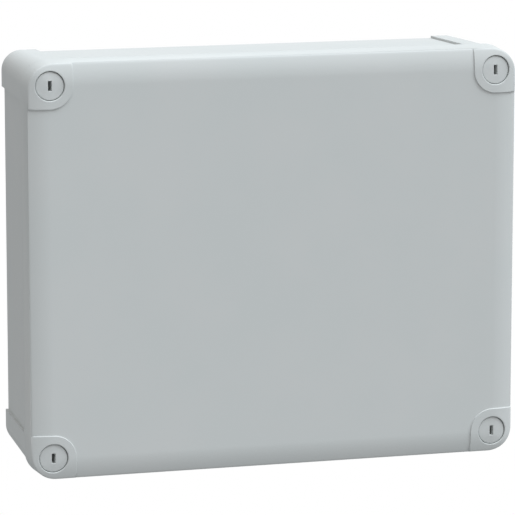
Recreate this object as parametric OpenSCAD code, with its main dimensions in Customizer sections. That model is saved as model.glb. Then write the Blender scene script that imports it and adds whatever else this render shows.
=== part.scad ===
// Electrical junction box: a moulded wall case with a soft-edged lid on four
// quarter-turn screws, and a rail of terminals inside.
// Millimetres, real size. The wall is the plane y = 0, the lid faces -Y, +Z is up.
// The modules are drawn lying on their back (x right, y up the wall, z out of it)
// and on_wall() stands them up.

/* [Case] */
// Width of the closed box over the lid
case_w = 291; // [240:1:360]
// Height of the closed box over the lid
case_h = 241; // [200:1:300]
// Depth from the wall to the lid's corner pads
case_d = 88; // [84:1:140]
// Thickness of the rear case's walls
wall_t = 2.6; // [2:0.1:3.2]
// Thickness of the rear case's floor
floor_t = 3; // [2:0.1:5]
// How far the rear case's side walls lean in from the rim to the back
side_lean = 2.9; // [0.5:0.1:3.5]
// How far its top and bottom walls lean in
end_lean = 2.35; // [0.5:0.05:3.5]
// How far the corner posts stand proud of the side walls
side_proud = 1.65; // [0.5:0.05:2]
// How far they stand proud of the top and bottom walls
end_proud = 1.3; // [0.5:0.05:2]
// Length of the corner posts' proud faces, from the lid's outline
post_len = 24.3; // [20:0.1:40]

/* [Lid] */
// Depth of the lid at its corner pads
lid_d = 18; // [16:0.5:26]
// Thickness of the lid's walls and roof
lid_t = 2.5; // [2:0.1:3]
// Corner radius of the lid's outline
lid_corner_r = 15.5; // [14:0.5:18]
// How far the lid stands out past the corner posts
lid_overhang = 1; // [0.2:0.1:1.5]
// Radius of the crown that rounds the lid's front towards its edges
crown_r = 37; // [30:1:60]
// Width of the crowned band around the lid's front
crown_run = 14; // [10:0.5:20]
// Height of the corner pads above the lid's face
pad_h = 0.8; // [0.4:0.1:1.5]
// Radius of the corner pads about the screw axes
pad_r = 13.2; // [12:0.1:18]
// Gap between the lid's edge and the rear case
part_gap = 0.4; // [0.2:0.1:0.8]

/* [Lid screws and fixings] */
// Distance of each screw axis from the two nearest edges of the lid
fixing_inset = 13.5; // [13:0.1:15]
// Diameter of the screw heads
head_d = 16.2; // [14:0.1:18.5]
// Thickness of the screw heads at their middle
head_t = 3.4; // [3:0.1:5]
// How far the heads lie below the pads' faces
head_recess = 1; // [0.2:0.1:1.5]
// Length of the driver slot
slot_l = 5.7; // [4:0.1:10]
// Width of the driver slot
slot_w = 2.2; // [1.2:0.1:3]
// Diameter of the screws' shanks
shank_d = 8.4; // [7:0.1:8.6]
// Length of the locking bar across each screw's end
bar_l = 13.2; // [12:0.1:13.4]
// Diameter of the wells in the corner posts
well_d = 14.6; // [14.2:0.1:15]
// Diameter of the wall fixing holes at the bottom of the wells
fixing_d = 5.5; // [4:0.1:6.5]

/* [Seal] */
// Thickness of the rear case's sealing lip
lip_t = 2; // [1.5:0.1:2.2]
// Height of the sealing lip above the rim
lip_h = 3.9; // [3:0.1:4.5]
// Depth of the gasket strip
gasket_h = 2.8; // [2:0.1:4]
// Gap between the gasket and the lip
seal_gap = 0.2; // [0.1:0.05:0.5]

/* [Terminal rail] */
// Length of the top-hat rail
rail_l = 230; // [200:1:240]
// Height of the rail's underside above the case's back
rail_z = 12; // [9:0.5:16]
// Spacing of the two rail screws
rail_screw_gap = 200; // [150:25:200]
// Number of feed-through terminals
terminal_count = 10; // [4:1:16]
// Width of one terminal
terminal_w = 6.2; // [6:0.1:8]
// Width of one end stop
stop_w = 8; // [7:0.5:10]
// Height of the plate bosses above the case's back
boss_z = 12; // [8:0.5:16]
// Distance of the plate bosses from the lid's outline
boss_inset = 40.5; // [36:0.5:50]

/* [Hidden] */

$fn = 96;
arc_steps = 14;
slice_t = 0.01;
cut = 1;

// Levels, measured out from the wall
case_top = case_d - lid_d - part_gap;
lid_z = case_d - lid_d;
lid_face = lid_d - pad_h;

// Screw axes and the plan of the case
fix_x = case_w / 2 - fixing_inset;
fix_y = case_h / 2 - fixing_inset;
case_corner_r = lid_corner_r - lid_overhang;
corner_x = case_w / 2 - lid_corner_r;
corner_y = case_h / 2 - lid_corner_r;
hollow_x = corner_x + case_corner_r - side_proud - wall_t;
hollow_y = corner_y + case_corner_r - end_proud - wall_t;

// Corner posts: well, ledge and the block around them
post_wall = 2.7;
post_r = well_d / 2 + post_wall;
ledge_t = 4;
key_clear = 0.4;
ledge_clear = 1;
ledge_hole_r = shank_d / 2 + ledge_clear;
bar_w = 4.2;
bar_h = 3.3;
bar_gap = 0.2;
bar_z = case_top - ledge_t - bar_gap - bar_h;
well_pad_t = 3;
well_floor = floor_t + well_pad_t;
tip_h = 1.5;

// Lid bosses
run_clear = 0.1;
slot_depth = head_t - 1;
head_clear = 0.3;
boss_floor_t = 2.5;
boss_lift = 4.4;
boss_wall = 3.2;
cup_wall = 2;
head_z = case_d - head_recess - head_t;
boss_top = head_z - run_clear;
boss_bottom = case_top + boss_lift;
boss_r = shank_d / 2 + boss_wall;
cup_r = head_d / 2 + head_clear + cup_wall;

// Captive washers, each in a groove of its screw's shank
washer_t = 1.3;
washer_r = 5.4;
groove_depth = 0.8;
groove_clear = 0.1;
washer_z = boss_bottom - groove_clear - washer_t;

// Seal channel in the lid, measured out from the hollow's outline
channel_clear = 0.5;
channel_out = lip_t + channel_clear;
channel_in = -channel_clear;
rib_t = 1.2;
rib_lift = 1;
gasket_fit = 0.1;
gasket_z = case_top + lip_h + seal_gap;
channel_roof = gasket_z + gasket_h;
web_t = 1.5;

// Rail and its screws
rail_w = 35;
rail_web_w = 27;
rail_h = 7.5;
rail_t = 1;
rail_slot_w = 6.2;
rail_slot_l = 15;
rail_slot_pitch = 25;
rail_slot_count = floor((rail_l / 2 - rail_slot_l) / rail_slot_pitch);
rail_top = rail_z + rail_h;
rail_boss_r = 6;
rail_screw_r = 1.9;
rail_head_r = 4;
rail_head_t = 2.4;
rail_driver_w = 1;
pan_edge = 0.6;
pan_top = 0.8;
driver_floor = 0.45;

// Plate bosses and inserts
plate_boss_r = 5.2;
insert_r = 2.9;
insert_hole_r = 1.65;
insert_l = 8;

// Terminals, measured from the rail's top
fit = 0.2;
side_gap = 0.1;
housing_w = terminal_w - side_gap;
housing_side_t = 1;
housing_half = 23.5;
shoulder_z = 18;
slope_z = 25;
crest_z = 31;
crest_half = 8;
shoulder_in = 5;
hook_z = rail_t + fit;
hook_t = 2;
hook_l = 4.4;
hook_x = rail_w / 2 + fit - hook_l / 2;
foot_out = 21.5;
cage_y = 14;
cage_l = 7;
cage_gap = 0.25;
cage_w = housing_w - housing_side_t - 2 * cage_gap;
cage_z = 6.3;
cage_h = 8.7;
cage_wall = 0.6;
cage_floor = 1;
cage_roof = 1.8;
bar_t = 1.2;
strip_w = cage_w - 2 * cage_wall - fit;
strip_z = 11.4;
entry_w = 3.8;
entry_h = 3.9;
entry_z = 7.4;
entry_l = 8;
clamp_head_r = 1.9;
clamp_head_t = 2.4;
clamp_head_z = cage_z + cage_h + 2 * fit;
clamp_shank_r = 1.3;
clamp_driver_w = 0.6;
access_r = clamp_head_r + fit;
pocket_x = housing_side_t / 2;
pocket_w = housing_w - housing_side_t;
foot_plate_t = 2;
foot_post = 3.6;

// Right halves of outlines, listed upwards: a foot that hooks under the rail's brim, and a housing's top
foot_half = [[rail_w / 2 + fit, fit], [rail_w / 2 + fit, -hook_z], [hook_x, -hook_z],
             [hook_x, -hook_z - hook_t], [hook_x + hook_l, -hook_z - hook_t],
             [foot_out, -hook_z], [foot_out, fit]];
housing_top_half = [[housing_half, fit], [housing_half, shoulder_z], [housing_half - shoulder_in, slope_z],
                    [crest_half, crest_z]];

// The row of terminals along the rail
end_plate_t = 1.5;
row_w = 2 * stop_w + (terminal_count + 1) * terminal_w + end_plate_t;
stop_left_x = -row_w / 2 + stop_w / 2;
earth_x = -row_w / 2 + stop_w + terminal_w / 2;
end_plate_x = row_w / 2 - stop_w - end_plate_t / 2;
stop_right_x = row_w / 2 - stop_w / 2;
stop_top = 20;
stop_half = 19;
stop_chamfer = 4;
stop_screw_r = 2;
stop_head_r = 3.4;
stop_head_t = 2.6;
stop_sink = 1;
stop_head_z = rail_top + stop_top - stop_head_t - stop_sink;
stop_driver_w = 0.9;
stop_top_half = [[stop_half, stop_top - stop_chamfer], [stop_half - stop_chamfer, stop_top]];

function terminal_x(i) = earth_x + i * terminal_w;

// ---- shared outlines ----

module on_wall() rotate([90, 0, 0]) children();

module at_fixings()
    for (sx = [-1, 1], sy = [-1, 1]) translate([sx * fix_x, sy * fix_y, 0]) children();

// A quarter arc's points, starting at the angle a
function arc_points(x, y, r, a) =
    [for (i = [0:arc_steps]) [x + r * cos(a + 90 * i / arc_steps), y + r * sin(a + 90 * i / arc_steps)]];

module rounded_rect(w, h, r) {
    x = w / 2 - r;
    y = h / 2 - r;
    polygon(concat(arc_points(x, y, r, 0), arc_points(-x, y, r, 90),
                   arc_points(-x, -y, r, 180), arc_points(x, -y, r, 270)));
}

// The four corners of the plan, each inside a line r short of its screw axis with a round inner corner
module corner_blocks(r) {
    reach = lid_corner_r + fixing_inset;
    for (sx = [-1, 1], sy = [-1, 1]) translate([sx * fix_x, sy * fix_y]) {
        circle(r);
        translate([sx > 0 ? 0 : -reach, sy > 0 ? -r : -reach]) square([reach, r + reach]);
        translate([sx > 0 ? -r : -reach, sy > 0 ? 0 : -reach]) square([r + reach, reach]);
    }
}

// Outline of the case's hollow at its rim, grown by g, going round the corner posts
module seal_outline(g) {
    difference() {
        square([2 * (hollow_x + g), 2 * (hollow_y + g)], center = true);
        corner_blocks(post_r - g);
    }
}

module seal_ring(outer, inner, z0, z1) {
    translate([0, 0, z0]) linear_extrude(z1 - z0) difference() {
        seal_outline(outer);
        seal_outline(inner);
    }
}

// ---- rear case ----

// Outline of the leaning case at the height z, shrunk by side and by end
module case_slice(side, end, z) {
    lean = 1 - z / case_top;
    r = case_corner_r - side_lean * lean - side;
    rounded_rect(2 * (corner_x + r), 2 * (corner_y + case_corner_r - end_lean * lean - end), r);
}

// The leaning case from the height z0 to its rim and past it by over
module case_envelope(side, end, z0, over) {
    z1 = case_top + over;
    hull() {
        translate([0, 0, z0]) linear_extrude(slice_t) case_slice(side, end, z0);
        translate([0, 0, z1 - slice_t]) linear_extrude(slice_t) case_slice(side, end, z1);
    }
}

module post_zones() {
    for (sx = [-1, 1], sy = [-1, 1])
        translate([sx * case_w / 2, sy * case_h / 2]) square(2 * post_len, center = true);
}

module case_shell() {
    case_envelope(side_proud, end_proud, 0, 0);
    intersection() {
        case_envelope(0, 0, 0, 0);
        linear_extrude(case_top) post_zones();
    }
    seal_ring(lip_t, 0, case_top - cut, case_top + lip_h);
}

module case_hollow() {
    difference() {
        case_envelope(side_proud + wall_t, end_proud + wall_t, floor_t, cut);
        linear_extrude(case_top + 2 * cut) corner_blocks(post_r);
    }
}

module post_well() {
    translate([0, 0, well_floor]) cylinder(h = case_top - ledge_t - well_floor, r = well_d / 2);
    translate([0, 0, well_floor]) cylinder(h = case_top, r = ledge_hole_r);
    translate([-bar_l / 2 - key_clear, -bar_w / 2 - key_clear, well_floor])
        cube([bar_l + 2 * key_clear, bar_w + 2 * key_clear, case_top]);
    translate([0, 0, -cut]) cylinder(h = well_floor + 2 * cut, r = fixing_d / 2);
}

module at_rail_screws()
    for (s = [-1, 1]) translate([s * rail_screw_gap / 2, 0, 0]) children();

module at_plate_bosses()
    for (sx = [-1, 1], sy = [-1, 1])
        translate([sx * (case_w / 2 - boss_inset), sy * (case_h / 2 - boss_inset), 0]) children();

module rear_case() {
    color([0.80, 0.81, 0.80]) on_wall() difference() {
        union() {
            difference() {
                case_shell();
                case_hollow();
            }
            at_rail_screws() translate([0, 0, floor_t / 2])
                cylinder(h = rail_z - floor_t / 2, r = rail_boss_r);
            at_plate_bosses() translate([0, 0, floor_t / 2])
                cylinder(h = boss_z - floor_t / 2, r = plate_boss_r);
        }
        at_fixings() post_well();
        at_rail_screws() translate([0, 0, floor_t]) cylinder(h = rail_z, r = rail_screw_r + run_clear);
        at_plate_bosses() translate([0, 0, boss_z - insert_l]) cylinder(h = insert_l + cut, r = insert_r);
    }
}

// ---- lid ----

// Side view of the lid: a level middle that falls away round an arc at each end
module crown_profile(half, top) {
    intersection() {
        translate([-half, 0]) square([2 * half, top]);
        union() {
            translate([crown_run - half, 0]) square([2 * (half - crown_run), top]);
            for (s = [-1, 1]) translate([s * (half - crown_run), top - crown_r]) circle(crown_r);
        }
    }
}

// Crowned block with the lid's outline taken in by inset
module lid_block(inset, top) {
    w = case_w - 2 * inset;
    h = case_h - 2 * inset;
    intersection() {
        translate([0, h / 2 + cut, 0]) rotate([90, 0, 0])
            linear_extrude(h + 2 * cut) crown_profile(w / 2, top);
        translate([-w / 2 - cut, 0, 0]) rotate([90, 0, 90])
            linear_extrude(w + 2 * cut) crown_profile(h / 2, top);
        linear_extrude(top + cut) rounded_rect(w, h, lid_corner_r - inset);
    }
}

module lid_skin() {
    difference() {
        union() {
            lid_block(0, lid_face);
            intersection() {
                lid_block(0, lid_d);
                linear_extrude(lid_d + cut) corner_blocks(pad_r);
            }
        }
        translate([0, 0, -cut]) lid_block(lid_t, lid_face - lid_t + cut);
    }
}

// Ribs of the seal channel and the screw bosses, kept under the roof
module lid_inside() {
    seal_ring(channel_out + rib_t, channel_out, case_top + rib_lift, case_d);
    seal_ring(channel_in, channel_in - rib_t, case_top + rib_lift, case_d);
    seal_ring(channel_out, channel_in, channel_roof, channel_roof + web_t);
    at_fixings() {
        translate([0, 0, boss_bottom]) cylinder(h = boss_top - boss_bottom, r = boss_r);
        translate([0, 0, boss_top - boss_floor_t]) cylinder(h = lid_d, r = cup_r);
    }
}

module lid() {
    color([0.83, 0.84, 0.83]) on_wall() difference() {
        union() {
            translate([0, 0, lid_z]) lid_skin();
            intersection() {
                lid_inside();
                translate([0, 0, lid_z]) lid_block(lid_t / 2, lid_face - lid_t / 2);
            }
        }
        seal_ring(channel_out, channel_in, lid_z - cut, channel_roof);
        at_fixings() {
            translate([0, 0, boss_top]) cylinder(h = lid_d, r = head_d / 2 + head_clear);
            translate([0, 0, lid_z]) cylinder(h = lid_d, r = shank_d / 2 + run_clear);
        }
    }
}

module lid_gasket() {
    color([0.20, 0.20, 0.21]) on_wall()
        seal_ring(channel_out - gasket_fit, channel_in + gasket_fit, gasket_z, channel_roof);
}

// ---- lid screws ----

// A screw in its locked position: slot upright, bar under the ledge, face flush with the crowned pad
module lid_screw(sx, sy) {
    color([0.78, 0.79, 0.78]) on_wall() difference() {
        union() {
            intersection() {
                translate([sx * fix_x, sy * fix_y, head_z]) cylinder(h = head_t + cut, r = head_d / 2);
                translate([0, 0, lid_z]) lid_block(0, lid_d - head_recess);
            }
            translate([sx * fix_x, sy * fix_y, 0]) {
                translate([0, 0, bar_z]) cylinder(h = head_z - bar_z + cut, r = shank_d / 2);
                translate([0, 0, bar_z]) locking_bar();
                translate([0, 0, bar_z - tip_h])
                    cylinder(h = tip_h, r1 = shank_d / 2 - tip_h, r2 = shank_d / 2);
            }
        }
        translate([sx * fix_x, sy * fix_y, 0]) {
            translate([-slot_w / 2, -slot_l / 2, head_z + head_t - slot_depth])
                cube([slot_w, slot_l, head_t]);
            translate([0, 0, washer_z - groove_clear]) washer_groove();
        }
    }
}

module locking_bar() {
    intersection() {
        cylinder(h = bar_h, r = bar_l / 2);
        translate([-bar_w / 2, -bar_l / 2, 0]) cube([bar_w, bar_l, bar_h]);
    }
}

module washer_groove() {
    difference() {
        cylinder(h = washer_t + 2 * groove_clear, r = shank_d / 2 + cut);
        translate([0, 0, -cut]) cylinder(h = washer_t + 3 * cut, r = shank_d / 2 - groove_depth);
    }
}

module captive_washers() {
    color([0.93, 0.92, 0.88]) on_wall() at_fixings() translate([0, 0, washer_z]) difference() {
        cylinder(h = washer_t, r = washer_r);
        translate([0, 0, -cut]) cylinder(h = washer_t + 2 * cut, r = shank_d / 2 - groove_depth + run_clear);
    }
}

// ---- plate inserts and rail ----

module plate_inserts() {
    color([0.78, 0.65, 0.35]) on_wall() at_plate_bosses() translate([0, 0, boss_z - insert_l]) difference() {
        cylinder(h = insert_l, r = insert_r);
        translate([0, 0, -cut]) cylinder(h = insert_l + 2 * cut, r = insert_hole_r);
    }
}

// A closed outline from its right half's points, listed upwards
function both_sides(half) = concat(half, [for (i = [len(half) - 1:-1:0]) [-half[i][0], half[i][1]]]);

module rail_profile() {
    web = rail_web_w / 2;
    brim = rail_w / 2;
    polygon(both_sides([[web, 0], [web, rail_h - rail_t], [brim, rail_h - rail_t], [brim, rail_h],
                        [web - rail_t, rail_h], [web - rail_t, rail_t]]));
}

module rail_slot() {
    square([rail_slot_l - rail_slot_w, rail_slot_w], center = true);
    for (s = [-1, 1]) translate([s * (rail_slot_l - rail_slot_w) / 2, 0]) circle(rail_slot_w / 2);
}

module din_rail() {
    color([0.72, 0.74, 0.75]) on_wall() difference() {
        translate([-rail_l / 2, 0, rail_z]) rotate([90, 0, 90]) linear_extrude(rail_l) rail_profile();
        for (i = [-rail_slot_count:rail_slot_count]) translate([i * rail_slot_pitch, 0, rail_z - cut])
            linear_extrude(rail_t + 2 * cut) rail_slot();
    }
}

// A screw with a slotted pan head, its head's underside at the height 0
module pan_screw(head_r, head_h, shank_r, shank_l, driver_w) {
    difference() {
        union() {
            cylinder(h = head_h * pan_edge, r = head_r);
            translate([0, 0, head_h * pan_edge])
                cylinder(h = head_h * (1 - pan_edge), r1 = head_r, r2 = head_r * pan_top);
            translate([0, 0, -shank_l]) cylinder(h = shank_l + head_h / 2, r = shank_r);
        }
        translate([-head_r, -driver_w / 2, head_h * driver_floor]) cube([2 * head_r, driver_w, head_h]);
    }
}

module rail_screws() {
    color([0.75, 0.76, 0.78]) on_wall() at_rail_screws() translate([0, 0, rail_z + rail_t])
        pan_screw(rail_head_r, rail_head_t, rail_screw_r, rail_z - floor_t, rail_driver_w);
}

// ---- terminals ----

module along_rail(x, w) translate([x - w / 2, 0, rail_top]) rotate([90, 0, 90]) linear_extrude(w) children();

module at_clamps(x) for (s = [-1, 1]) translate([x + pocket_x, s * cage_y, rail_top]) children();

// What is hollowed out of a housing: clamp pockets open to one side, wire entries, screw holes, bar channel
module terminal_hollows(x) {
    entry_y = housing_half - entry_l / 2 + cut;
    at_clamps(x) {
        translate([-pocket_w / 2, -cage_l / 2 - fit, cage_z - fit])
            cube([pocket_w + cut, cage_l + 2 * fit, cage_h + 2 * fit]);
        cylinder(h = crest_z + cut, r = access_r);
    }
    for (s = [-1, 1])
        translate([x + pocket_x - entry_w / 2, s * entry_y - entry_l / 2 - cut, rail_top + entry_z])
            cube([entry_w, entry_l + 2 * cut, entry_h]);
    translate([x + pocket_x - pocket_w / 2, -cage_y, rail_top + strip_z - fit])
        cube([pocket_w + cut, 2 * cage_y, bar_t + 2 * fit]);
}

module terminal_housing(i) {
    color([0.62, 0.63, 0.64]) on_wall() difference() {
        along_rail(terminal_x(i), housing_w) polygon(both_sides(concat(foot_half, housing_top_half)));
        terminal_hollows(terminal_x(i));
    }
}

module current_strip(x)
    translate([x + pocket_x - strip_w / 2, -cage_y - cage_l / 2, rail_top + strip_z])
        cube([strip_w, 2 * cage_y + cage_l, bar_t]);

module current_bars() {
    color([0.85, 0.60, 0.35]) on_wall() for (i = [1:terminal_count]) current_strip(terminal_x(i));
}

module clamp_cage() {
    difference() {
        translate([-cage_w / 2, -cage_l / 2, cage_z]) cube([cage_w, cage_l, cage_h]);
        translate([-cage_w / 2 + cage_wall, -cage_l, cage_z + cage_floor])
            cube([cage_w - 2 * cage_wall, 2 * cage_l, cage_h - cage_floor - cage_roof]);
        translate([0, 0, cage_z + 2 * cage_floor]) cylinder(h = cage_h, r = clamp_shank_r + run_clear);
    }
}

module clamp_cages() {
    color([0.80, 0.80, 0.78]) on_wall() for (i = [0:terminal_count]) at_clamps(terminal_x(i)) clamp_cage();
}

module clamp_screws() {
    shank_l = clamp_head_z - strip_z - bar_t - fit / 2;
    color([0.78, 0.79, 0.82]) on_wall() for (i = [0:terminal_count]) at_clamps(terminal_x(i))
        translate([0, 0, clamp_head_z])
            pan_screw(clamp_head_r, clamp_head_t, clamp_shank_r, shank_l, clamp_driver_w);
}

module end_plate() {
    color([0.58, 0.59, 0.60]) on_wall() along_rail(end_plate_x, end_plate_t - side_gap)
        polygon(both_sides(concat(foot_half, housing_top_half)));
}

// The earth terminal's housing has no feet: its metal foot grips the rail instead
module earth_terminal() {
    color([0.55, 0.70, 0.20]) on_wall() difference() {
        along_rail(earth_x, housing_w) polygon(both_sides(housing_top_half));
        terminal_hollows(earth_x);
        along_rail(earth_x, housing_w + cut)
            square([2 * housing_half + cut, 2 * (foot_plate_t + fit)], center = true);
        translate([earth_x, 0, rail_top + strip_z / 2])
            cube([foot_post + 2 * fit, foot_post + 2 * fit, strip_z], center = true);
    }
}

module earth_foot() {
    color([0.80, 0.79, 0.74]) on_wall() {
        along_rail(earth_x, housing_w - 2 * fit)
            polygon(both_sides(concat(foot_half, [[foot_out, foot_plate_t]])));
        translate([earth_x - foot_post / 2, -foot_post / 2, rail_top + fit])
            cube([foot_post, foot_post, strip_z - fit]);
    }
}

module earth_bar() {
    color([0.85, 0.60, 0.35]) on_wall() current_strip(earth_x);
}

// ---- end stops ----

module end_stop(x) {
    color([0.66, 0.66, 0.64]) on_wall() difference() {
        along_rail(x, stop_w - side_gap) polygon(both_sides(concat(foot_half, stop_top_half)));
        translate([x, 0, rail_top]) cylinder(h = stop_top + cut, r = stop_screw_r + run_clear);
        translate([x, 0, stop_head_z]) cylinder(h = stop_top, r = stop_head_r + fit);
    }
}

module end_stop_screws() {
    color([0.75, 0.76, 0.78]) on_wall() for (x = [stop_left_x, stop_right_x]) translate([x, 0, stop_head_z])
        pan_screw(stop_head_r, stop_head_t, stop_screw_r, stop_head_z - rail_z - rail_t, stop_driver_w);
}

rear_case();
lid();
lid_gasket();
lid_screw(-1, 1);  // lid_screw_top_left
lid_screw(1, 1);  // lid_screw_top_right
lid_screw(-1, -1);  // lid_screw_bottom_left
lid_screw(1, -1);  // lid_screw_bottom_right
captive_washers();
plate_inserts();
din_rail();
rail_screws();
for (i = [1:terminal_count]) terminal_housing(i);
current_bars();
clamp_cages();
clamp_screws();
end_plate();
earth_terminal();
earth_foot();
earth_bar();
end_stop(stop_left_x);  // end_stop_left
end_stop(stop_right_x);  // end_stop_right
end_stop_screws();
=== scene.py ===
import math

import bmesh
import bpy
from mathutils import Matrix, Vector


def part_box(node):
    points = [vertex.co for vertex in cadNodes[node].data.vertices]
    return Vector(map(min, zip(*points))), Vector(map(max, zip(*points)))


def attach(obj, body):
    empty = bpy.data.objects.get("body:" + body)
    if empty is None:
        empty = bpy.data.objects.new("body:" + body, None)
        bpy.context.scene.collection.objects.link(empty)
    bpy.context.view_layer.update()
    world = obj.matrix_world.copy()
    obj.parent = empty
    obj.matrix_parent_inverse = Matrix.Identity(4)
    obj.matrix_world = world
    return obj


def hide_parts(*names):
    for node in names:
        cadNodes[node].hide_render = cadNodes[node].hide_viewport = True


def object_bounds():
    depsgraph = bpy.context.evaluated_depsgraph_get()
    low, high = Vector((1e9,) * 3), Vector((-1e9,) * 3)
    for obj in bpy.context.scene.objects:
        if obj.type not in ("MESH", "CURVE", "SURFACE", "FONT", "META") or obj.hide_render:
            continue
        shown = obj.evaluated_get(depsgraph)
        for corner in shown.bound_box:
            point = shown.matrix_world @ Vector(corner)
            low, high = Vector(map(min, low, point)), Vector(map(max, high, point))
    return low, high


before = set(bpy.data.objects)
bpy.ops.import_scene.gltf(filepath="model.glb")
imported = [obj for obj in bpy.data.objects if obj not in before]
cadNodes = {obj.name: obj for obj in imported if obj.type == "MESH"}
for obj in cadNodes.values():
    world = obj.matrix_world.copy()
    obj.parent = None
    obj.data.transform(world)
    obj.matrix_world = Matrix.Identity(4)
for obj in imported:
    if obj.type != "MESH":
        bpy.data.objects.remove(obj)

cadLow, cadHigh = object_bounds()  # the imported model's own box
mm = 0.001
samePoint = 0.002  # millimetres within which the CAD meshes' loose corners are one point
onCut = 0.0001  # millimetres within which a point already lies on a cut

# New pieces are drawn in millimetres on the bench: x right, y up the wall, z out of the wall
onWall = Matrix.Rotation(math.radians(90), 4, "X") @ Matrix.Scale(mm, 4)
onBench = onWall.inverted()


# shared tools

def linearColour(hexValue):
    channels = [int(hexValue[i:i + 2], 16) / 255 for i in (1, 3, 5)]
    return [c / 12.92 if c <= 0.04045 else ((c + 0.055) / 1.055) ** 2.4 for c in channels] + [1]


def addNode(tree, kind, settings={}, links={}):
    node = tree.nodes.new(kind)
    for name, value in settings.items():
        if name == "stops":  # a colour ramp's positions and colours
            ramp = node.color_ramp.elements
            while len(ramp) < len(value):
                ramp.new(0.5)
            for element, (position, colour) in zip(ramp, value):
                element.position = position
                element.color = colour if isinstance(colour, list) else (colour, colour, colour, 1)
        elif name in node.inputs:
            node.inputs[name].default_value = value
        else:
            setattr(node, name, value)
    for name, source in links.items():
        tree.links.new(source, node.inputs[name])
    return node


def startMaterial(name):
    material = bpy.data.materials.new(name)
    material.use_nodes = True
    material.node_tree.nodes.clear()
    return material, material.node_tree


def endMaterial(tree, settings, links):
    shader = addNode(tree, "ShaderNodeBsdfPrincipled", settings, links)
    addNode(tree, "ShaderNodeOutputMaterial", {}, {"Surface": shader.outputs["BSDF"]})


def benchMesh(node):
    # A copy of a CAD node's mesh on the bench, with its loose triangles welded
    bm = bmesh.new()
    bm.from_mesh(cadNodes[node].data)
    bm.transform(onBench)
    bmesh.ops.remove_doubles(bm, verts=bm.verts, dist=samePoint)
    return bm


def sortParts(parts, key):
    place = {part: i for i, part in enumerate(sorted(parts, key=key))}
    parts.sort(key=place.get)
    parts.index_update()


def steadyOrder(bm):
    # Bevels and extrusions leave their points, edges and faces in an order that changes from run to run
    sortParts(bm.verts, lambda vert: tuple(vert.co))
    for parts in (bm.edges, bm.faces):
        sortParts(parts, lambda part: sorted(v.index for v in part.verts))


def finishPiece(name, bm, material, body, replaced, sharpAngle):
    bm.transform(onWall)
    steadyOrder(bm)
    mesh = bpy.data.meshes.new(name)
    bm.to_mesh(mesh)
    bm.free()
    mesh.shade_smooth()
    mesh.set_sharp_from_angle(angle=math.radians(sharpAngle))
    mesh.materials.append(material)
    piece = bpy.data.objects.new(name, mesh)
    bpy.context.scene.collection.objects.link(piece)
    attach(piece, body)
    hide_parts(*replaced)


def cutAt(bm, axis, position):
    point, normal = Vector(), Vector()
    point[axis], normal[axis] = position, 1
    everything = bm.verts[:] + bm.edges[:] + bm.faces[:]
    bmesh.ops.bisect_plane(bm, geom=everything, dist=onCut, plane_co=point, plane_no=normal)


def roundOver(distance, radius):
    # How far a rounded edge has fallen at a distance inside it
    short = radius - min(max(distance, 0), radius)
    return radius - math.sqrt(radius ** 2 - short ** 2)


# materials

def mouldedAbs():
    # ABS in light grey, moulded in a spark-eroded tool: a dull, fine, even grain with a faint sheen.
    # Such grain is nearer a tenth of a millimetre and is drawn coarser so that it shows.
    look = {"light": "#cbcdcc", "dark": "#c9cccb", "grain": 0.9, "depth": 0.01, "bump": 0.35,
            "mottle": 45, "sheen": (0.50, 0.58)}
    material, tree = startMaterial("mouldedAbs")
    place = addNode(tree, "ShaderNodeTexCoord").outputs["Object"]
    mottle = addNode(tree, "ShaderNodeTexNoise", {"Scale": 1 / (look["mottle"] * mm), "Detail": 3},
                     {"Vector": place})
    colour = addNode(tree, "ShaderNodeValToRGB",
                     {"stops": [(0.35, linearColour(look["dark"])), (0.65, linearColour(look["light"]))]},
                     {"Fac": mottle.outputs["Fac"]})
    grain = addNode(tree, "ShaderNodeTexNoise",
                    {"Scale": 1 / (look["grain"] * mm), "Detail": 2, "Roughness": 0.6}, {"Vector": place})
    sheen = addNode(tree, "ShaderNodeMapRange", {"To Min": look["sheen"][0], "To Max": look["sheen"][1]},
                    {"Value": grain.outputs["Fac"]})
    bump = addNode(tree, "ShaderNodeBump", {"Strength": look["bump"], "Distance": look["depth"] * mm},
                   {"Height": grain.outputs["Fac"]})
    endMaterial(tree, {"IOR": 1.5, "Specular IOR Level": 0.35},
                {"Base Color": colour.outputs["Color"], "Roughness": sheen.outputs["Result"],
                 "Normal": bump.outputs["Normal"]})
    return material


def mouldedPolyamide(name, light, dark, roughness=0.45):
    # Polyamide, moulded in a polished tool: smoother than ABS, with faint flow clouds.
    # Its pits are drawn coarser than real ones so that they show.
    look = {"cloud": 6, "pit": 0.5, "depth": 0.008, "bump": 0.3, "glossier": 0.05, "duller": 0.07}
    material, tree = startMaterial(name)
    place = addNode(tree, "ShaderNodeTexCoord").outputs["Object"]
    cloud = addNode(tree, "ShaderNodeTexNoise",
                    {"Scale": 1 / (look["cloud"] * mm), "Detail": 4, "Distortion": 0.6}, {"Vector": place})
    colour = addNode(tree, "ShaderNodeValToRGB",
                     {"stops": [(0.3, linearColour(dark)), (0.7, linearColour(light))]},
                     {"Fac": cloud.outputs["Fac"]})
    sheen = addNode(tree, "ShaderNodeMapRange",
                    {"To Min": roughness - look["glossier"], "To Max": roughness + look["duller"]},
                    {"Value": cloud.outputs["Fac"]})
    pit = addNode(tree, "ShaderNodeTexNoise", {"Scale": 1 / (look["pit"] * mm), "Detail": 1},
                  {"Vector": place})
    bump = addNode(tree, "ShaderNodeBump", {"Strength": look["bump"], "Distance": look["depth"] * mm},
                   {"Height": pit.outputs["Fac"]})
    endMaterial(tree, {"IOR": 1.53, "Specular IOR Level": 0.4},
                {"Base Color": colour.outputs["Color"], "Roughness": sheen.outputs["Result"],
                 "Normal": bump.outputs["Normal"]})
    return material


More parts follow.
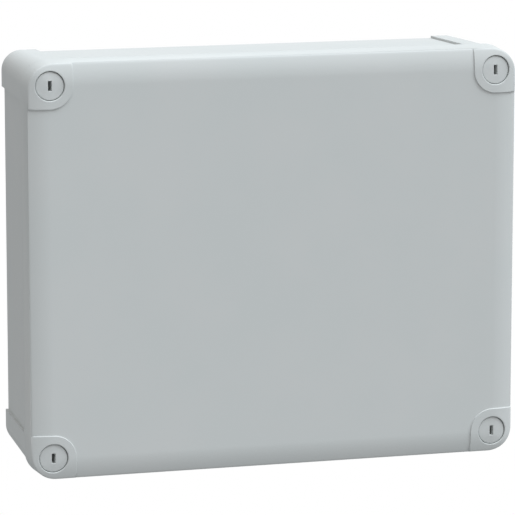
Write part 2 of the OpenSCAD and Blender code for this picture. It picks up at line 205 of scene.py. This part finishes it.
def stripedPolyamide():
    # Earth terminals are moulded in green and yellow: broad stripes with crisp edges
    look = {"green": "#3f8f3a", "yellow": "#e3c62a", "stripe": 12, "cloud": 4, "sheen": (0.38, 0.5)}
    material, tree = startMaterial("stripedPolyamide")
    place = addNode(tree, "ShaderNodeTexCoord").outputs["Object"]
    height = addNode(tree, "ShaderNodeSeparateXYZ", {}, {"Vector": place}).outputs["Z"]
    share = addNode(tree, "ShaderNodeMath", {"operation": "PINGPONG"})
    tree.links.new(height, share.inputs[0])
    share.inputs[1].default_value = look["stripe"] * mm
    wide = addNode(tree, "ShaderNodeMapRange", {"From Max": look["stripe"] * mm},
                   {"Value": share.outputs[0]})
    colour = addNode(tree, "ShaderNodeValToRGB",
                     {"stops": [(0.48, linearColour(look["green"])), (0.52, linearColour(look["yellow"]))]},
                     {"Fac": wide.outputs["Result"]})
    cloud = addNode(tree, "ShaderNodeTexNoise", {"Scale": 1 / (look["cloud"] * mm), "Detail": 3},
                    {"Vector": place})
    sheen = addNode(tree, "ShaderNodeMapRange", {"To Min": look["sheen"][0], "To Max": look["sheen"][1]},
                    {"Value": cloud.outputs["Fac"]})
    endMaterial(tree, {"IOR": 1.53},
                {"Base Color": colour.outputs["Color"], "Roughness": sheen.outputs["Result"]})
    return material


def foamedPolyurethane():
    # Gasket foam poured into its channel: matt, nearly black, with open cells under half a millimetre, each
    # painted darker down in its pit as painted shade
    look = {"light": "#3a3b3c", "dark": "#202122", "cell": 0.45, "depth": 0.15, "bump": 0.7}
    material, tree = startMaterial("foamedPolyurethane")
    place = addNode(tree, "ShaderNodeTexCoord").outputs["Object"]
    cells = addNode(tree, "ShaderNodeTexVoronoi", {"Scale": 1 / (look["cell"] * mm)}, {"Vector": place})
    # Painted shade: each cell's colour darkens towards its middle, where the bump below sinks it into a pit
    colour = addNode(tree, "ShaderNodeValToRGB",
                     {"stops": [(0.1, linearColour(look["dark"])), (0.6, linearColour(look["light"]))]},
                     {"Fac": cells.outputs["Distance"]})
    bump = addNode(tree, "ShaderNodeBump", {"Strength": look["bump"], "Distance": look["depth"] * mm},
                   {"Height": cells.outputs["Distance"]})
    endMaterial(tree, {"IOR": 1.45, "Roughness": 0.9},
                {"Base Color": colour.outputs["Color"], "Normal": bump.outputs["Normal"]})
    return material


def platedMetal(name, light, dark, roughness, streak, size):
    # Plated or turned metal: cloudy in tone where the bath or the tool left its marks
    look = {"depth": 0.01, "bump": 0.2, "glossier": 0.07, "duller": 0.1}
    material, tree = startMaterial(name)
    place = addNode(tree, "ShaderNodeTexCoord").outputs["Object"]
    stretched = addNode(tree, "ShaderNodeMapping", {"Scale": streak}, {"Vector": place})
    cloud = addNode(tree, "ShaderNodeTexNoise", {"Scale": 1 / (size * mm), "Detail": 5},
                    {"Vector": stretched.outputs["Vector"]})
    colour = addNode(tree, "ShaderNodeValToRGB",
                     {"stops": [(0.3, linearColour(dark)), (0.7, linearColour(light))]},
                     {"Fac": cloud.outputs["Fac"]})
    sheen = addNode(tree, "ShaderNodeMapRange",
                    {"To Min": roughness - look["glossier"], "To Max": roughness + look["duller"]},
                    {"Value": cloud.outputs["Fac"]})
    bump = addNode(tree, "ShaderNodeBump", {"Strength": look["bump"], "Distance": look["depth"] * mm},
                   {"Height": cloud.outputs["Fac"]})
    endMaterial(tree, {"Metallic": 1},
                {"Base Color": colour.outputs["Color"], "Roughness": sheen.outputs["Result"],
                 "Normal": bump.outputs["Normal"]})
    return material


absGrain = mouldedAbs()
screwPolyamide = mouldedPolyamide("screwPolyamide", "#cccecd", "#c8cbca", 0.5)
washerNylon = mouldedPolyamide("washerNylon", "#e9e6da", "#dedacb", 0.4)
terminalPolyamide = mouldedPolyamide("terminalPolyamide", "#989c9e", "#8f9395")
stopPolyamide = mouldedPolyamide("stopPolyamide", "#85888a", "#7b7e80", 0.5)
earthPolyamide = stripedPolyamide()
gasketFoam = foamedPolyurethane()
turnedBrass = platedMetal("turnedBrass", "#d9b868", "#c49d4c", 0.3, (1, 6, 1), 1.5)
rolledZinc = platedMetal("rolledZinc", "#c9ccce", "#b2b6b8", 0.36, (0.15, 1, 1), 2.5)  # streaked lengthwise
passivatedZinc = platedMetal("passivatedZinc", "#cdd3da", "#b4bcc4", 0.3, (1, 1, 1), 1.2)
tinnedCopper = platedMetal("tinnedCopper", "#d7a67f", "#c08a60", 0.28, (1, 1, 0.3), 1.5)
print("materials made")


# lid

lidLow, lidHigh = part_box("lid")
lidBox = {"halfWidth": lidHigh.x / mm, "halfHeight": lidHigh.z / mm,
          "back": -lidHigh.y / mm, "front": -lidLow.y / mm}
# Millimetres, and degrees for sharpAngle. crownBlend is the power that joins two crowned sides
# round a corner, seat is a height over the wall, and each of rimRings is a height over the lid's back
# and how far in from its outline.
lidShape = {"cornerRadius": 15.5, "cornerSteps": 14, "crownRadius": 35, "crownRun": 14, "crownBlend": 3,
            "crownCuts": (3, 4.5, 6, 7.5, 9, 10.5, 12, 13, 14, 15.5, 26.7), "sideLean": 0.9,
            "edgeRadius": 0.8, "edgeRings": (0.04, 0.1, 0.22, 0.42, 0.8, 1.4),
            "padRise": 0.8, "padRadius": 13.2, "padEdge": 0.1, "fixingInset": 13.5,
            "holeRadius": 8.4, "holeEdge": 0.4, "holeRings": (0, 0.05, 0.16, 0.4, 0.8), "holeSteps": 64,
            "seat": 83.5, "rimRings": ((0.9, 0.055), (0.32, 0.01), (0.1, 0.1), (0, 0.32)), "sharpAngle": 45}
facesWall = -0.3  # a face whose outward z is below this looks at the wall
# How near, in millimetres, a point must be to count as on a line, the outline, a hole or a level
near = {"join": 0.004, "line": 0.01, "side": 0.02, "hole": 0.03, "outline": 0.05, "level": 0.05,
        "seat": 0.01}
corners = {"top_left": (-1, 1), "top_right": (1, 1), "bottom_left": (-1, -1), "bottom_right": (1, -1)}
fixingX = lidBox["halfWidth"] - lidShape["fixingInset"]
fixingY = lidBox["halfHeight"] - lidShape["fixingInset"]


def crownDrop(x, y):
    # How far the crowned front has fallen at a point
    run, radius, blend = lidShape["crownRun"], lidShape["crownRadius"], lidShape["crownBlend"]
    over = [max(0, abs(x) - lidBox["halfWidth"] + run), max(0, abs(y) - lidBox["halfHeight"] + run)]
    reach = sum(o ** blend for o in over) ** (1 / blend)
    return radius - math.sqrt(radius ** 2 - min(reach, run) ** 2)


def insideLine(x, y, radius):
    # Distance inside a corner made of two straight lines and an arc about the origin
    return radius - (math.hypot(x, y) if x > 0 and y > 0 else max(x, y))


def edgeDistance(x, y):
    radius = lidShape["cornerRadius"]
    return insideLine(abs(x) - lidBox["halfWidth"] + radius, abs(y) - lidBox["halfHeight"] + radius, radius)


def frontHeight(x, y):
    # Height of the lid's front over the wall, with the raised corner pads
    fromPad = insideLine(fixingX - abs(x), fixingY - abs(y), lidShape["padRadius"])
    share = min(max(fromPad / lidShape["padEdge"] / 2 + 0.5, 0), 1)
    share = share * share * (3 - 2 * share)
    return lidBox["front"] - lidShape["padRise"] * (1 - share) - crownDrop(x, y)


def moveIn(vert, distance):
    # Moves a point near the lid's outline inwards, or outwards if distance is below zero
    radius = lidShape["cornerRadius"]
    x = abs(vert.co.x) - lidBox["halfWidth"] + radius
    y = abs(vert.co.y) - lidBox["halfHeight"] + radius
    if x > 0 and y > 0:
        away = Vector((x, y, 0)).normalized()
    else:
        away = Vector((1, 0, 0)) if x > y else Vector((0, 1, 0))
    vert.co.x -= away.x * distance * math.copysign(1, vert.co.x)
    vert.co.y -= away.y * distance * math.copysign(1, vert.co.y)


def roundCorners(bm, verts, radius):
    bmesh.ops.bevel(bm, geom=verts, offset=radius, offset_type="OFFSET", segments=lidShape["cornerSteps"],
                    profile=0.5, affect="VERTICES", clamp_overlap=False, material=-1)


def insetRings(bm, face):
    done = 0
    for ring in lidShape["edgeRings"]:
        bmesh.ops.inset_region(bm, faces=[face], thickness=ring - done, use_even_offset=True,
                               use_boundary=True)
        done = ring


def lidPlan(wantPads):
    # The flat plan of the lid's front, either its four corner pads or what lies between them
    padX, padY = fixingX - lidShape["padRadius"], fixingY - lidShape["padRadius"]
    bm = bmesh.new()
    bmesh.ops.create_grid(bm, x_segments=1, y_segments=1, size=1)
    lean = lidShape["sideLean"]
    bmesh.ops.scale(bm, vec=(lidBox["halfWidth"] - lean, lidBox["halfHeight"] - lean, 1), verts=bm.verts)
    for side in (-1, 1):
        cutAt(bm, 0, side * padX)
        cutAt(bm, 1, side * padY)

    def isPad(face):
        middle = face.calc_center_median()
        return abs(middle.x) > padX and abs(middle.y) > padY

    bmesh.ops.delete(bm, geom=[f for f in bm.faces if isPad(f) != wantPads], context="FACES")
    if wantPads:
        outer = [v for v in bm.verts
                 if abs(v.co.x) > padX + near["line"] and abs(v.co.y) > padY + near["line"]]
        roundCorners(bm, outer, lidShape["cornerRadius"] - lean)
    else:
        bmesh.ops.dissolve_faces(bm, faces=bm.faces[:])
    inner = [v for v in bm.verts
             if abs(abs(v.co.x) - padX) < near["line"] and abs(abs(v.co.y) - padY) < near["line"]]
    roundCorners(bm, inner, lidShape["padRadius"])
    for face in bm.faces[:]:
        insetRings(bm, face)
    return bm


def ringEdges(bm, centre, radius, steps):
    made = bmesh.ops.create_circle(bm, segments=steps, radius=radius, matrix=Matrix.Translation(centre))
    return list(dict.fromkeys(e for v in made["verts"] for e in v.link_edges))  # each once, in order


def openHoles(bm):
    # Cuts each pad's screw hole, with rings for its rounded edge
    padMiddles = sorted(bm.faces, key=lambda f: -f.calc_area())[:len(corners)]
    for face in padMiddles:
        middle = face.calc_center_median()
        centre = Vector((math.copysign(fixingX, middle.x), math.copysign(fixingY, middle.y), 0))
        outline = list(face.edges)
        bmesh.ops.delete(bm, geom=[face], context="FACES_ONLY")
        loops = [ringEdges(bm, centre, lidShape["holeRadius"] + ring, lidShape["holeSteps"])
                 for ring in lidShape["holeRings"]]
        for inside, outside in zip(loops, loops[1:]):
            bmesh.ops.bridge_loops(bm, edges=inside + outside)
        bmesh.ops.triangle_fill(bm, use_beauty=True, edges=outline + loops[-1], normal=(0, 0, 1))


def lidFront():
    bm = lidPlan(False)
    pads = lidPlan(True)
    openHoles(pads)
    joinMesh(bm, pads)
    bmesh.ops.remove_doubles(bm, verts=bm.verts, dist=near["join"])
    for inset in lidShape["crownCuts"]:
        for side in (-1, 1):
            cutAt(bm, 0, side * (lidBox["halfWidth"] - inset))
            cutAt(bm, 1, side * (lidBox["halfHeight"] - inset))
    for vert in bm.verts:
        x, y = vert.co.x, vert.co.y
        fromHole = math.hypot(abs(x) - fixingX, abs(y) - fixingY) - lidShape["holeRadius"]
        fromEdge = edgeDistance(x, y) - lidShape["sideLean"]
        vert.co.z = (frontHeight(x, y) - roundOver(fromEdge, lidShape["edgeRadius"])
                     - roundOver(fromHole, lidShape["holeEdge"]))
    return bm


def pullDown(bm, edges, level):
    # Draws a loop of edges straight down to a level
    made = bmesh.ops.extrude_edge_only(bm, edges=edges)["geom"]
    for vert in [g for g in made if isinstance(g, bmesh.types.BMVert)]:
        vert.co.z = level
    return [g for g in made if isinstance(g, bmesh.types.BMEdge)]


def faceOut(bm):
    # Turns an open shell's faces the same way, with its front towards the room
    bmesh.ops.recalc_face_normals(bm, faces=bm.faces[:])
    if sum(f.normal.z * f.calc_area() for f in bm.faces) < 0:
        bmesh.ops.reverse_faces(bm, faces=bm.faces[:])


def joinMesh(bm, other):
    carrier = bpy.data.meshes.new("carrier")
    other.to_mesh(carrier)
    other.free()
    bm.from_mesh(carrier)
    bpy.data.meshes.remove(carrier)


def isOutside(vert):
    # Whether a point of the CAD lid lies on its front, its sides or the walls of its screw holes
    if vert.co.z > lidShape["seat"] + near["level"] or edgeDistance(vert.co.x, vert.co.y) < near["side"]:
        return True
    fromFixing = math.hypot(abs(vert.co.x) - fixingX, abs(vert.co.y) - fixingY)
    return vert.co.z > lidShape["seat"] - near["seat"] and fromFixing > lidShape["holeRadius"] - near["hole"]


def makeLid():
    bm = lidFront()
    outline = lidShape["sideLean"] + near["outline"]
    openEdges = [e for e in bm.edges if e.is_boundary]
    rim = [e for e in openEdges if all(edgeDistance(v.co.x, v.co.y) < outline for v in e.verts)]
    holes = [e for e in openEdges if e not in set(rim)]
    for lift, inset in lidShape["rimRings"]:
        rim = pullDown(bm, rim, lidBox["back"] + lift)
        for vert in {v for e in rim for v in e.verts}:
            moveIn(vert, inset - max(0, edgeDistance(vert.co.x, vert.co.y)))
    pullDown(bm, holes, lidShape["seat"])
    faceOut(bm)
    inside = benchMesh("lid")  # the ribs, seal channel and bosses keep their shape
    outside = [f for f in inside.faces
               if f.normal.z >= facesWall and all(isOutside(v) for v in f.verts)]
    bmesh.ops.delete(inside, geom=outside, context="FACES")
    for vert in inside.verts:
        if edgeDistance(vert.co.x, vert.co.y) < near["side"]:
            moveIn(vert, lidShape["rimRings"][-1][1])
    joinMesh(bm, inside)
    finishPiece("lidShell", bm, absGrain, "cover", ["lid"], lidShape["sharpAngle"])


makeLid()
print("lid made")


# lid screws

# Millimetres, and degrees for sharpAngle. under is a height over the wall, and slotDepth is measured
# from the lid's front.
headShape = {"radius": 8.1, "recess": 1.0, "edge": 0.45, "edgeRings": (0, 0.05, 0.18, 0.45, 0.9),
             "steps": 64, "under": 83.6, "slotWidth": 2.2, "slotLength": 5.7, "slotCorner": 0.2,
             "slotSteps": 4, "slotEdge": 0.12, "slotRings": (0, 0.03, 0.12, 0.35), "slotDepth": 9,
             "sharpAngle": 40}


def slotEdges(bm, centre, grow):
    # A loop of edges around the driver slot, larger than it by grow
    made = bmesh.ops.create_grid(bm, x_segments=1, y_segments=1, size=0.5)
    bmesh.ops.scale(bm, vec=(headShape["slotWidth"] + 2 * grow, headShape["slotLength"] + 2 * grow, 1),
                    verts=made["verts"])
    bmesh.ops.translate(bm, vec=centre, verts=made["verts"])
    bmesh.ops.bevel(bm, geom=made["verts"], offset=headShape["slotCorner"] + grow, offset_type="OFFSET",
                    segments=headShape["slotSteps"], profile=0.5, affect="VERTICES", clamp_overlap=False,
                    material=-1)
    (face,) = bm.faces[:]  # earlier loops have already lost theirs
    edges = list(face.edges)
    bmesh.ops.delete(bm, geom=[face], context="FACES_ONLY")
    return edges


def makeHead(corner, sideX, sideY):
    node = "lid_screw_" + corner
    centre = Vector((sideX * fixingX, sideY * fixingY, 0))
    bm = bmesh.new()
    slotLoops = [slotEdges(bm, centre, grow) for grow in headShape["slotRings"]]
    loops = [ringEdges(bm, centre, headShape["radius"] - ring, headShape["steps"])
             for ring in headShape["edgeRings"]]
    for chain in (slotLoops, loops):
        for inside, outside in zip(chain, chain[1:]):
            bmesh.ops.bridge_loops(bm, edges=inside + outside)
    bmesh.ops.triangle_fill(bm, use_beauty=True, edges=slotLoops[-1] + loops[-1], normal=(0, 0, 1))
    for vert in bm.verts:
        x, y = vert.co.x, vert.co.y
        fromRim = headShape["radius"] - math.hypot(x - centre.x, y - centre.y)
        fromSlot = max(abs(x - centre.x) - headShape["slotWidth"] / 2,
                       abs(y - centre.y) - headShape["slotLength"] / 2)
        vert.co.z = (frontHeight(x, y) - headShape["recess"] - roundOver(fromRim, headShape["edge"])
                     - roundOver(fromSlot, headShape["slotEdge"]))
    pullDown(bm, loops[0], headShape["under"])
    floor = pullDown(bm, slotLoops[0], lidBox["front"] - headShape["slotDepth"])
    bmesh.ops.edgeloop_fill(bm, edges=floor)
    faceOut(bm)
    shank = benchMesh(node)  # the shank, its groove and its locking bar keep their shape
    headStart = headShape["under"] + near["level"]
    head = [f for f in shank.faces if any(v.co.z > headStart for v in f.verts)]
    bmesh.ops.delete(shank, geom=head, context="FACES")
    joinMesh(bm, shank)
    finishPiece("screwHead_" + corner, bm, screwPolyamide, "screw_" + corner, [node],
                headShape["sharpAngle"])


for corner, (sideX, sideY) in corners.items():
    makeHead(corner, sideX, sideY)
print("lid screws made")


# CAD nodes that keep their shape get softened edges and their own finish

edgeWork = {"flatAngle": 0.5, "edgeAngle": 35, "steps": 2}
# Each node's material and how wide its softened edges are, in millimetres
softened = {"rear_case": (absGrain, 0.4), "lid_gasket": (gasketFoam, 0.4),
            "captive_washers": (washerNylon, 0.15), "plate_inserts": (turnedBrass, 0.12),
            "din_rail": (rolledZinc, 0.3), "rail_screws": (passivatedZinc, 0.12),
            "current_bars": (tinnedCopper, 0.1), "clamp_cages": (passivatedZinc, 0.12),
            "clamp_screws": (passivatedZinc, 0.08), "end_plate": (terminalPolyamide, 0.15),
            "earth_terminal": (earthPolyamide, 0.2), "earth_foot": (passivatedZinc, 0.15),
            "earth_bar": (tinnedCopper, 0.1), "end_stop_left": (stopPolyamide, 0.25),
            "end_stop_right": (stopPolyamide, 0.25), "end_stop_screws": (passivatedZinc, 0.12)}
softened.update({name: (terminalPolyamide, 0.2) for name in cadNodes if name.startswith("terminal_")})
for name, (material, width) in softened.items():
    node = cadNodes[name]
    node.data.materials.clear()
    node.data.materials.append(material)
    if "custom_normal" in node.data.attributes:
        node.data.attributes.remove(node.data.attributes["custom_normal"])
    node.data.shade_smooth()
    weld = node.modifiers.new("weld", "WELD")
    weld.merge_threshold = samePoint * mm
    flatten = node.modifiers.new("flatten", "DECIMATE")
    flatten.decimate_type = "DISSOLVE"
    flatten.angle_limit = math.radians(edgeWork["flatAngle"])
    soften = node.modifiers.new("soften", "BEVEL")
    soften.limit_method = "ANGLE"
    soften.angle_limit = math.radians(edgeWork["edgeAngle"])
    soften.width = width * mm
    soften.segments = edgeWork["steps"]
    even = node.modifiers.new("even", "WEIGHTED_NORMAL")
    even.keep_sharp = True
print("CAD nodes finished")


# stage, light and camera

# The floor's sizes are in metres
studio = {"white": (1, 1, 1, 1), "floorDrop": 0.45, "floorHalf": 20, "worldWhite": 0.62, "bounce": 0.30,
          "key": (0.38, -0.29, 0.82), "keyStrength": 2.95, "keySoftness": 50, "keyColour": (0.925, 1, 1.053)}


def makeFloor():
    bm = bmesh.new()
    bmesh.ops.create_grid(bm, x_segments=1, y_segments=1, size=studio["floorHalf"])
    bmesh.ops.translate(bm, vec=(0, 0, cadLow.z - studio["floorDrop"]), verts=bm.verts)
    mesh = bpy.data.meshes.new("floor")
    bm.to_mesh(mesh)
    bm.free()
    material, tree = startMaterial("whitePaper")
    ray = addNode(tree, "ShaderNodeLightPath")
    seen = addNode(tree, "ShaderNodeEmission", {"Color": studio["white"], "Strength": 1.0})
    lit = addNode(tree, "ShaderNodeBsdfDiffuse", {"Color": (studio["bounce"],) * 3 + (1,)})
    both = addNode(tree, "ShaderNodeMixShader", {}, {"Fac": ray.outputs["Is Camera Ray"]})
    tree.links.new(lit.outputs[0], both.inputs[1])
    tree.links.new(seen.outputs[0], both.inputs[2])
    addNode(tree, "ShaderNodeOutputMaterial", {}, {"Surface": both.outputs[0]})
    mesh.materials.append(material)
    floor = bpy.data.objects.new("floor", mesh)
    bpy.context.scene.collection.objects.link(floor)


def makeLight():
    world = bpy.data.worlds.new("studio")
    bpy.context.scene.world = world
    world.use_nodes = True
    tree = world.node_tree
    tree.nodes.clear()
    ray = addNode(tree, "ShaderNodeLightPath")
    level = addNode(tree, "ShaderNodeMapRange", {"To Min": studio["worldWhite"], "To Max": 1.0},
                    {"Value": ray.outputs["Is Camera Ray"]})
    sky = addNode(tree, "ShaderNodeBackground", {"Color": studio["white"]},
                  {"Strength": level.outputs["Result"]})
    addNode(tree, "ShaderNodeOutputWorld", {}, {"Surface": sky.outputs[0]})
    lamp = bpy.data.lights.new("key", "SUN")
    lamp.energy = studio["keyStrength"]
    lamp.color = studio["keyColour"]
    lamp.angle = math.radians(studio["keySoftness"])
    key = bpy.data.objects.new("key", lamp)
    key.rotation_euler = Vector(studio["key"]).to_track_quat("Z", "Y").to_euler()
    bpy.context.scene.collection.objects.link(key)


def makeCamera():
    shot = {"azimuth": -15.7, "elevation": 10.32, "distance": 2.088, "slide": (-0.01116, 0.00318),
            "lens": 254.1, "sensor": 36, "clip": (0.1, 100)}
    turn, tilt = math.radians(shot["azimuth"]), math.radians(shot["elevation"])
    back = Vector((math.sin(turn) * math.cos(tilt), -math.cos(turn) * math.cos(tilt), math.sin(tilt)))
    facing = (-back).to_track_quat("-Z", "Y")
    lens = bpy.data.cameras.new("camera")
    lens.lens = shot["lens"]
    lens.sensor_width = shot["sensor"]
    lens.clip_start, lens.clip_end = shot["clip"]
    camera = bpy.data.objects.new("camera", lens)
    middle = Vector((0, cadLow.y, 0))  # the middle of the lid's front
    camera.location = middle + back * shot["distance"] + facing @ Vector((*shot["slide"], 0))
    camera.rotation_euler = facing.to_euler()
    bpy.context.scene.collection.objects.link(camera)
    bpy.context.scene.camera = camera


makeFloor()
makeLight()
makeCamera()
bpy.context.scene.view_settings.view_transform = "Standard"
print("stage made")
